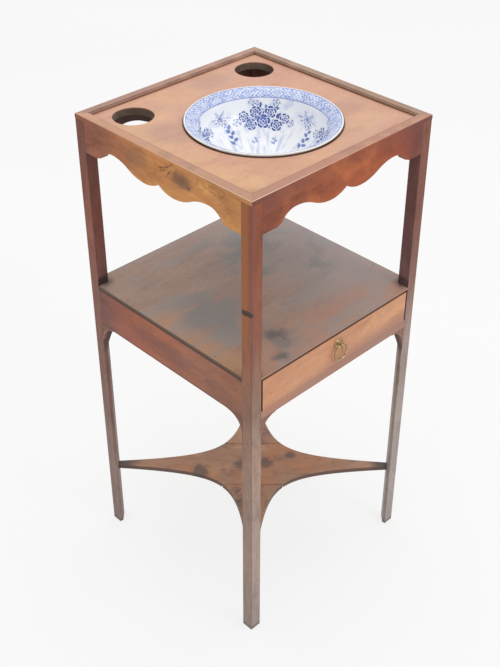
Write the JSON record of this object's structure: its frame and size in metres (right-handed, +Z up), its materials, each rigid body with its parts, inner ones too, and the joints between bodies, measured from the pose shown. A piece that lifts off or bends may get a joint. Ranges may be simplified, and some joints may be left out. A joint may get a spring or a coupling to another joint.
{
  "type": "square washstand with bowl",
  "caption": "Square mahogany washstand with a lipped top for a lift-out pottery bowl and cups, shaped aprons, a shelf over a drawer with a ring pull, and a hollow-sided cross stretcher.",
  "frame": {"origin": "centre of the square plan, on the floor between the feet", "axes": "+Z up; -Y towards the drawer front; +X to the right as one faces the drawer"},
  "size_m": [0.35, 0.3591, 0.782],
  "materials": {
    "mahogany": "worn wax polish",
    "gold_mahogany": "worn wax polish",
    "red_mahogany": "worn wax polish",
    "faded_mahogany": "faded wax polish",
    "shelf_mahogany": "dull, water-stained",
    "drawer_mahogany": "worn wax polish",
    "oak": "dry, unpolished",
    "iron": "dull",
    "brass": "worn, lightly tarnished",
    "pottery": "glossy glaze over a blue print"
  },
  "bodies": {
    "stand": {"leg_front_left": "mahogany", "leg_front_right": "mahogany", "leg_back_right": "mahogany", "leg_back_left": "mahogany", "apron_front": "red_mahogany", "apron_right": "red_mahogany", "apron_back": "red_mahogany", "apron_left": "gold_mahogany", "lip_front": "faded_mahogany", "lip_right": "faded_mahogany", "lip_back": "faded_mahogany", "lip_left": "faded_mahogany", "top_panel": "faded_mahogany", "top_blocks": "oak", "shelf": "shelf_mahogany", "shelf_pins": "iron", "rail_right": "red_mahogany", "rail_back": "red_mahogany", "rail_left": "red_mahogany", "drawer_rail": "drawer_mahogany", "bracket_front_left": "mahogany", "bracket_front_right": "mahogany", "bracket_right_front": "mahogany", "bracket_right_back": "mahogany", "bracket_back_right": "mahogany", "bracket_back_left": "mahogany", "bracket_left_back": "mahogany", "bracket_left_front": "mahogany", "runner_left": "oak", "runner_right": "oak", "guide_left": "oak", "guide_right": "oak", "drawer_stops": "oak", "stretcher_upper": "red_mahogany", "stretcher_lower": "red_mahogany"},
    "drawer": {"drawer_front": "drawer_mahogany", "drawer_side_left": "oak", "drawer_side_right": "oak", "drawer_back": "oak", "drawer_bottom": "oak", "bottom_nails": "iron", "pull_rose": "brass", "pull_eye": "brass", "pull_nut": "brass"},
    "ring": {"pull_ring": "brass"},
    "bowl": {"bowl": "pottery"}
  },
  "joints": [
    {"name": "drawer_slide", "type": "slide", "parent": "stand", "child": "drawer", "axis": [0, -1, 0], "range_m": [0, 0.23]},
    {"name": "ring_pivot", "type": "hinge", "parent": "drawer", "child": "ring", "pos_m": [0, -0.1813, 0.4798], "axis": [-1, 0, 0], "range_deg": [-9, 170]},
    {"name": "bowl_lift", "type": "slide", "parent": "stand", "child": "bowl", "axis": [0, 0, 1], "range_m": [0, 0.12]}
  ]
}
